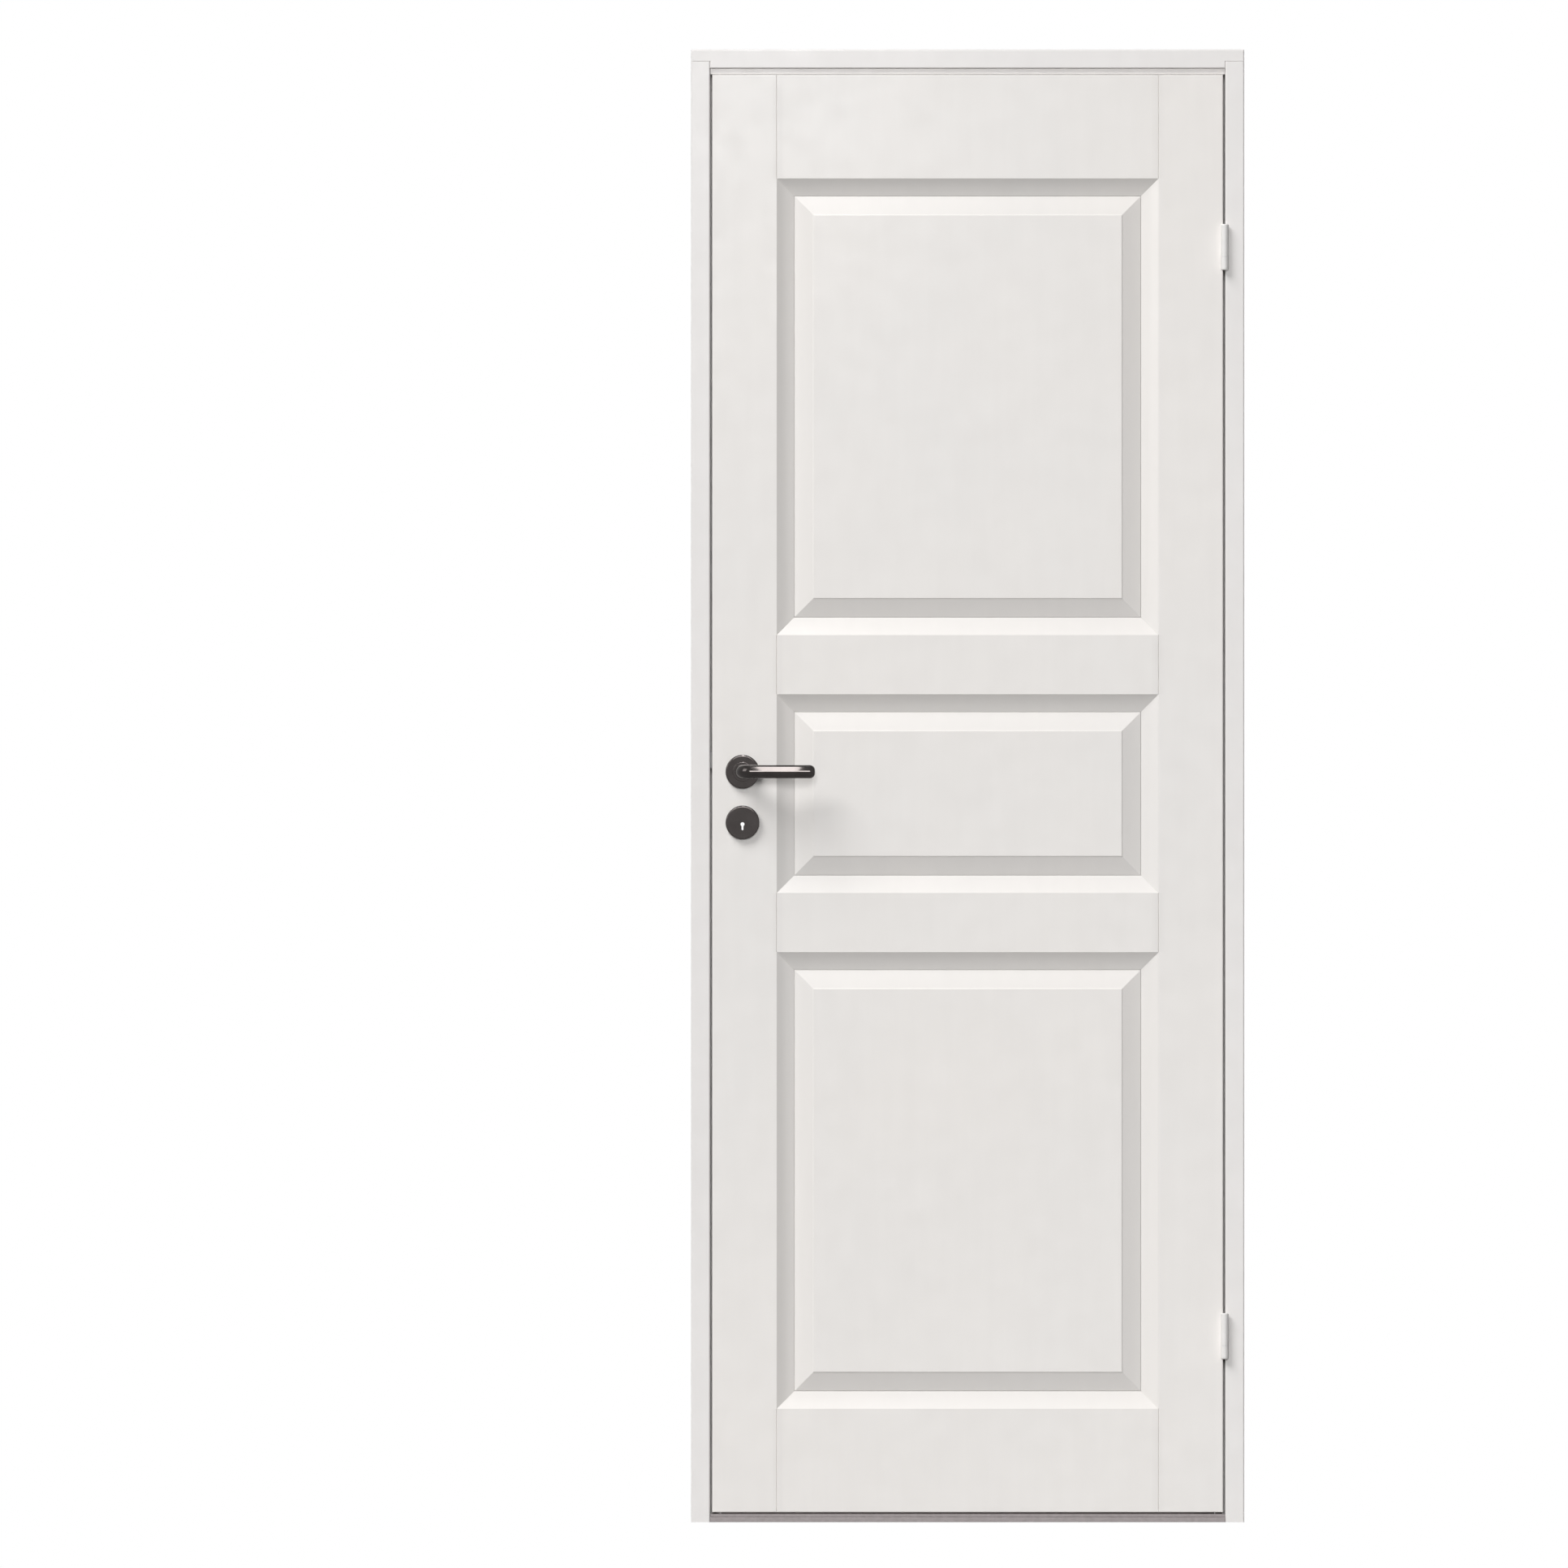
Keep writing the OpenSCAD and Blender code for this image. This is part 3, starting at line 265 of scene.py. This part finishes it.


# The leaf's paint carries the painted shade where rails meet stiles
leaf_paint = paint("leaf_paint", colour(235, 231, 227), colour(232, 229, 226), with_joint_shade=True)
frame_paint = paint("frame_paint", colour(234, 231, 229), colour(231, 228, 226))
rose_metal = dark_metal("rose_metal", colour(73, 69, 68), colour(67, 63, 62))
# A darker copy of the roses' metal for the levers: painted shade, which darkens what their lower halves
# reflect
shaded_lever_metal = dark_metal("shaded_lever_metal", colour(60, 57, 56), colour(55, 52, 51))
zinc = metal("zinc", colour(196, 197, 200), colour(180, 182, 186), rough=(0.40, 0.52),
             grain_scale=700.0, grain_depth=0.004 * MM, grain=(1, 6, 0.4))
case_zinc = metal("case_zinc", colour(160, 162, 165), colour(140, 142, 146), rough=(0.32, 0.50),
                  grain_scale=500.0, grain_depth=0.004 * MM, grain=(0.5, 4, 6))
dull_zinc = coated("dull_zinc", colour(172, 171, 171), colour(163, 162, 163), rough=(0.55, 0.66),
                   scale=900.0, depth=0.01 * MM, metallic=0.25)
threshold_metal = coated("threshold_metal", colour(136, 129, 129), colour(127, 120, 120), rough=(0.40, 0.52),
                         scale=1400.0, depth=0.008 * MM, metallic=0.2)
hinge_coat = coated("hinge_coat", colour(231, 229, 227), colour(227, 225, 223), rough=(0.44, 0.54),
                    scale=800.0, depth=0.006 * MM)
seal_rubber = coated("seal_rubber", colour(214, 211, 207), colour(204, 200, 196), rough=(0.60, 0.75),
                     scale=1200.0, depth=0.01 * MM)
nylon = coated("nylon", colour(46, 45, 45), colour(36, 35, 35), rough=(0.42, 0.55),
               scale=1600.0, depth=0.012 * MM)
beech = timber("beech", colour(205, 168, 122), colour(180, 140, 96), fleck_colour=(0.30, 0.15, 0.07, 1))

# The material for each of the record's slots
FINISH = {
    "leaf_paint": leaf_paint,
    "frame_paint": frame_paint,
    "handle_metal": rose_metal,
    "steel": zinc,
    "case_metal": case_zinc,
    "hinge_metal": hinge_coat,
    "seal": seal_rubber,
    "threshold_metal": threshold_metal,
    "nylon": nylon,
    "dowel_wood": beech,
}
SLOT_OF = {part["node"]: part["material_slot"] for part in frame["record"]["subparts"]}


def finish_with(obj, material):
    obj.data.materials.clear()
    obj.data.materials.append(material)


for name, obj in nodes.items():
    finish_with(obj, FINISH[SLOT_OF[name]])
for name in ("strike_plate", "latch_bolt"):
    finish_with(nodes[name], dull_zinc)

# Soft edges
EASED = ["hinge_stile", "lock_stile", "top_rail", "upper_middle_rail", "lower_middle_rail", "bottom_rail",
         "top_panel", "middle_panel", "bottom_panel", "hinge_jamb", "lock_jamb", "frame_head",
         "head_gap_strip", "threshold"]
PAINTED_EDGE = 0.5 * MM
TREAD_EDGE = 0.4 * MM
SAME_POINT = 0.01 * MM
SAME_PLANE = math.radians(0.6)
SHARP_EDGE = math.radians(14)


def soften(obj, width):
    """Rounds an object's sharp edges a little, as paint and sanding do."""
    merge = obj.modifiers.new("merge", "WELD")
    merge.merge_threshold = SAME_POINT
    flat = obj.modifiers.new("flatten", "DECIMATE")
    flat.decimate_type = "DISSOLVE"
    flat.angle_limit = SAME_PLANE
    flat.delimit = {"NORMAL"}
    edge = obj.modifiers.new("soften", "BEVEL")
    edge.width = width
    edge.segments = 3
    edge.limit_method = "ANGLE"
    edge.angle_limit = SHARP_EDGE
    edge.use_clamp_overlap = True
    even = obj.modifiers.new("even", "WEIGHTED_NORMAL")
    even.mode = "FACE_AREA"
    even.weight = 100
    even.keep_sharp = True
    obj.data.shade_smooth()


for name in EASED:
    soften(nodes[name], PAINTED_EDGE)


def link_new(name, data):
    obj = bpy.data.objects.new(name, data)
    bpy.context.scene.collection.objects.link(obj)
    return obj


def new_object(name, mesh_maker):
    """A smooth object, whose mesh mesh_maker fills."""
    mesh = bpy.data.meshes.new(name)
    bm = bmesh.new()
    mesh_maker(bm)
    bmesh.ops.recalc_face_normals(bm, faces=bm.faces)
    bm.to_mesh(mesh)
    bm.free()
    mesh.shade_smooth()
    return link_new(name, mesh)


# The levers, as round bars of the CAD model's size, swept along one smooth path
LEVER_LOW, LEVER_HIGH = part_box("back_lever")
BAR_R = LOCK_X - LEVER_LOW.x
BAR_Y = LEVER_HIGH.y - BAR_R
LEVER_LEN = LEVER_HIGH.x - LOCK_X
STEM_START = LEVER_LOW.y
STEM_CHAMFER = 0.3 * MM
BEND_R = 11 * MM
BEND_STEPS = 24
BAR_STEPS = 3
TIP_ROUND = 7.5 * MM
TIP_STEPS = 16
BAR_SIDES = 72

# The grub screw's hole, from below into each lever's stem
GRUB_Y = LEAF_FACE + 18 * MM
GRUB_HOLE_R = 2.6 * MM
GRUB_HOLE_TOP = 5 * MM
CUTTER_OVERRUN = 1 * MM
DRILLED_EDGE = math.radians(35)


def lever_rings():
    """Centre, direction and radius of each ring from the stem's foot to the tip, from the spindle's middle."""
    outward = Vector((0, 1, 0))
    sideways = Vector((1, 0, 0))
    rings = [
        (Vector((0, STEM_START, 0)), outward, BAR_R - STEM_CHAMFER),
        (Vector((0, STEM_START + STEM_CHAMFER, 0)), outward, BAR_R),
    ]
    for i in range(BEND_STEPS + 1):
        a = math.pi / 2 * i / BEND_STEPS
        centre = Vector((BEND_R * (1 - math.cos(a)), BAR_Y - BEND_R + BEND_R * math.sin(a), 0))
        rings.append((centre, Vector((math.sin(a), math.cos(a), 0)), BAR_R))
    for i in range(1, BAR_STEPS + 1):
        x = BEND_R + (LEVER_LEN - TIP_ROUND - BEND_R) * i / BAR_STEPS
        rings.append((Vector((x, BAR_Y, 0)), sideways, BAR_R))
    for i in range(1, TIP_STEPS + 1):
        a = math.pi / 2 * i / TIP_STEPS
        x = LEVER_LEN - TIP_ROUND + TIP_ROUND * math.sin(a)
        rings.append((Vector((x, BAR_Y, 0)), sideways, BAR_R - TIP_ROUND + TIP_ROUND * math.cos(a)))
    return rings


def lever_mesh(side):
    """Fills the mesh of a lever: side is -1 for the front and 1 for the back."""
    up = Vector((0, 0, 1))

    def build(bm):
        loops = []
        for centre, ahead, radius in lever_rings():
            out = ahead.cross(up)
            loop = []
            for k in range(BAR_SIDES):
                a = 2 * math.pi * k / BAR_SIDES
                p = centre + radius * (math.cos(a) * out + math.sin(a) * up)
                loop.append(bm.verts.new((LOCK_X + p.x, side * p.y, HANDLE_Z + p.z)))
            loops.append(loop)
        for a, b in zip(loops, loops[1:]):
            for k in range(BAR_SIDES):
                after = (k + 1) % BAR_SIDES
                bm.faces.new((a[k], a[after], b[after], b[k]))
        bm.faces.new(loops[0])
        bm.faces.new(loops[-1])

    return build


def grub_hole(side):
    """Fills the mesh of the cutter for a grub screw's hole."""

    def build(bm):
        low = HANDLE_Z - BAR_R - CUTTER_OVERRUN
        high = HANDLE_Z - GRUB_HOLE_TOP
        middle = Matrix.Translation((LOCK_X, side * GRUB_Y, (low + high) / 2))
        bmesh.ops.create_cone(bm, cap_ends=True, segments=40, radius1=GRUB_HOLE_R, radius2=GRUB_HOLE_R,
                              depth=high - low, matrix=middle)

    return build


def drill(obj, cutter):
    """Takes the cutter out of the object, and removes the cutter."""
    cut = obj.modifiers.new("hole", "BOOLEAN")
    cut.operation = "DIFFERENCE"
    cut.solver = "EXACT"
    cut.object = cutter
    graph = bpy.context.evaluated_depsgraph_get()
    mesh = bpy.data.meshes.new_from_object(obj.evaluated_get(graph))
    obj.modifiers.remove(cut)
    obj.data = mesh
    bpy.data.objects.remove(cutter)
    mesh.set_sharp_from_angle(angle=DRILLED_EDGE)


for name, side in (("front_lever", -1), ("back_lever", 1)):
    lever = new_object(name + "_bar", lever_mesh(side))
    drill(lever, new_object("cutter", grub_hole(side)))
    # The levers' darker copy of the metal, with its painted shade
    finish_with(lever, shaded_lever_metal)
    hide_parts(name)
    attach(lever, "handle")

# The threshold's raised tread with the lip behind the leaf's foot, which close the gap under the leaf
THRESHOLD_LOW, THRESHOLD_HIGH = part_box("threshold")
STOP_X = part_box("hinge_jamb")[0].x
END_PLAY = 0.3 * MM
SUNK_Z = THRESHOLD_HIGH.z - 0.4 * MM
LIP_FRONT = LEAF_FACE + 4.4 * MM
LIP_TOP = LEAF_FOOT + 2.6 * MM
LIP_CHAMFER = 0.6 * MM
LIP_FLAT_END = LIP_FRONT + 3.6 * MM
LIP_BACK = LIP_FRONT + 12.6 * MM
LIP_BACK_Z = THRESHOLD_HIGH.z + 0.6 * MM
TREAD_FRONT = THRESHOLD_LOW.y + 1.5 * MM
TREAD_BACK = LIP_FRONT - 0.5 * MM
TREAD_TOP = LEAF_FOOT - 1.8 * MM
TREAD_CHAMFER = 0.8 * MM
TREAD_OUTLINE = [
    (TREAD_FRONT, SUNK_Z),
    (TREAD_FRONT, TREAD_TOP - TREAD_CHAMFER),
    (TREAD_FRONT + TREAD_CHAMFER, TREAD_TOP),
    (TREAD_BACK, TREAD_TOP),
    (TREAD_BACK, SUNK_Z),
]
LIP_OUTLINE = [
    (LIP_FRONT, SUNK_Z),
    (LIP_FRONT, LIP_TOP - LIP_CHAMFER),
    (LIP_FRONT + LIP_CHAMFER, LIP_TOP),
    (LIP_FLAT_END, LIP_TOP),
    (LIP_BACK, LIP_BACK_Z),
    (LIP_BACK, SUNK_Z),
]


def draw_out(bm, half_length, outline):
    """A bar along x with an outline of y and z."""
    ends = []
    for x in (-half_length, half_length):
        ends.append([bm.verts.new((x, y, z)) for y, z in outline])
    count = len(outline)
    for k in range(count):
        after = (k + 1) % count
        bm.faces.new((ends[0][k], ends[0][after], ends[1][after], ends[1][k]))
    for end in ends:
        bm.faces.new(end)


def tread_mesh(bm):
    draw_out(bm, THRESHOLD_HIGH.x - END_PLAY, TREAD_OUTLINE)
    draw_out(bm, STOP_X - END_PLAY, LIP_OUTLINE)


threshold_tread = new_object("threshold_tread", tread_mesh)
finish_with(threshold_tread, threshold_metal)
soften(threshold_tread, TREAD_EDGE)
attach(threshold_tread, "frame")

# Lamps: a soft key from the upper left, a low front lamp, a fill from behind, and two that the levers mirror
KEY_FROM = (-0.473, -0.473, 0.743)
FRONT_FROM = (0, -0.985, 0.17)
BACK_FROM = (0.6, 1.0, 0.35)
LEVER_AXIS = Vector((LOCK_X, 0, HANDLE_Z))
STRIP_LOW = LEVER_AXIS + Vector((0.056, -2.1, 0.6))
STRIP_HIGH = LEVER_AXIS + Vector((0.056, 0.3, 2.6))
PANEL_PLACE = Vector((-2.2, -1.6, HANDLE_Z + 1.3))


def aim(obj, place, target):
    """Puts a lamp at a place and turns it to the target."""
    obj.location = place
    obj.rotation_mode = "QUATERNION"
    obj.rotation_quaternion = (Vector(target) - Vector(place)).to_track_quat("-Z", "Y")


def lay_between(obj, low, high, target):
    """Lays a lamp along the line from low to high, turned about that line to face the target."""
    middle = (low + high) / 2
    along = (high - low).normalized()
    toward = target - middle
    toward = (toward - toward.dot(along) * along).normalized()
    across = along.cross(-toward).normalized()
    obj.location = middle
    obj.rotation_mode = "QUATERNION"
    obj.rotation_quaternion = Matrix((across, along, -toward)).transposed().to_quaternion()


def sun(name, place, strength, angle):
    """A sun that shines from a place towards the origin, with its angle in degrees."""
    data = bpy.data.lights.new(name, "SUN")
    data.energy = strength
    data.angle = math.radians(angle)
    obj = link_new(name, data)
    aim(obj, place, (0, 0, 0))
    return obj


def mirrored_lamp(name, width, height, watts):
    """An area lamp that only reflections see."""
    data = bpy.data.lights.new(name, "AREA")
    data.shape = "RECTANGLE"
    data.size = width
    data.size_y = height
    data.energy = watts
    obj = link_new(name, data)
    obj.visible_diffuse = False
    obj.visible_camera = False
    return obj


sun("key", KEY_FROM, strength=2.72, angle=34).visible_glossy = False
sun("front", FRONT_FROM, strength=1.05, angle=14)
sun("back_fill", BACK_FROM, strength=2.7, angle=30)
lay_between(mirrored_lamp("strip", width=0.13, height=3.0, watts=24), STRIP_LOW, STRIP_HIGH, LEVER_AXIS)
aim(mirrored_lamp("mirrored_panel", width=1.4, height=2.0, watts=40), PANEL_PLACE, LEVER_AXIS)

# World and floor, which look white but light the object only a little
SEEN_WORLD = 1.0
LIT_WORLD = 0.02
SEEN_FLOOR = 0.92
LIT_FLOOR = 0.16
FLOOR_HALF = 30
FLOOR_Z = -0.4 * MM


def seen_rays(tree):
    """1 for rays of the camera, of reflections and of glass, and 0 for light that only bounces."""
    path = tree.nodes.new("ShaderNodeLightPath")
    seen = path.outputs["Is Camera Ray"]
    for ray in ("Is Glossy Ray", "Is Transmission Ray"):
        either = tree.nodes.new("ShaderNodeMath")
        either.operation = "MAXIMUM"
        tree.links.new(seen, either.inputs[0])
        tree.links.new(path.outputs[ray], either.inputs[1])
        seen = either.outputs[0]
    return seen


def studio_world():
    world = bpy.data.worlds.new("studio")
    world.use_nodes = True
    tree = world.node_tree
    tree.nodes.clear()
    blend = tree.nodes.new("ShaderNodeMixShader")
    tree.links.new(seen_rays(tree), blend.inputs[0])
    for socket, strength in ((1, LIT_WORLD), (2, SEEN_WORLD)):
        light = tree.nodes.new("ShaderNodeBackground")
        light.inputs["Color"].default_value = grey(1)
        light.inputs["Strength"].default_value = strength
        tree.links.new(light.outputs[0], blend.inputs[socket])
    out = tree.nodes.new("ShaderNodeOutputWorld")
    tree.links.new(blend.outputs[0], out.inputs["Surface"])
    return world


def floor_paint():
    material = bpy.data.materials.new("floor_paint")
    material.use_nodes = True
    tree = material.node_tree
    tone = tree.nodes.new("ShaderNodeMix")
    tone.data_type = "RGBA"
    tone.inputs[6].default_value = grey(LIT_FLOOR)
    tone.inputs[7].default_value = grey(SEEN_FLOOR)
    tree.links.new(seen_rays(tree), tone.inputs["Factor"])
    shade = tree.nodes["Principled BSDF"]
    shade.inputs["Roughness"].default_value = 0.8
    tree.links.new(tone.outputs[2], shade.inputs["Base Color"])
    return material


def floor_mesh(bm):
    corners = []
    for x, y in ((-1, -1), (1, -1), (1, 1), (-1, 1)):
        corners.append(bm.verts.new((x * FLOOR_HALF, y * FLOOR_HALF, FLOOR_Z)))
    bm.faces.new(corners)


bpy.context.scene.world = studio_world()
floor = new_object("floor", floor_mesh)
finish_with(floor, floor_paint())

# Camera: straight on and without perspective, as the photograph looks, with the door right of its middle
PICTURE_WIDTH = 2.2251
CAMERA_PLACE = (-0.2606, -6.0, 1.0476)

camera_data = bpy.data.cameras.new("camera")
camera_data.type = "ORTHO"
camera_data.ortho_scale = PICTURE_WIDTH
camera_data.clip_start = 0.1
camera_data.clip_end = 100
camera = link_new("camera", camera_data)
camera.location = CAMERA_PLACE
camera.rotation_euler = (math.radians(90), 0, 0)
bpy.context.scene.camera = camera
bpy.context.scene.view_settings.view_transform = "Standard"
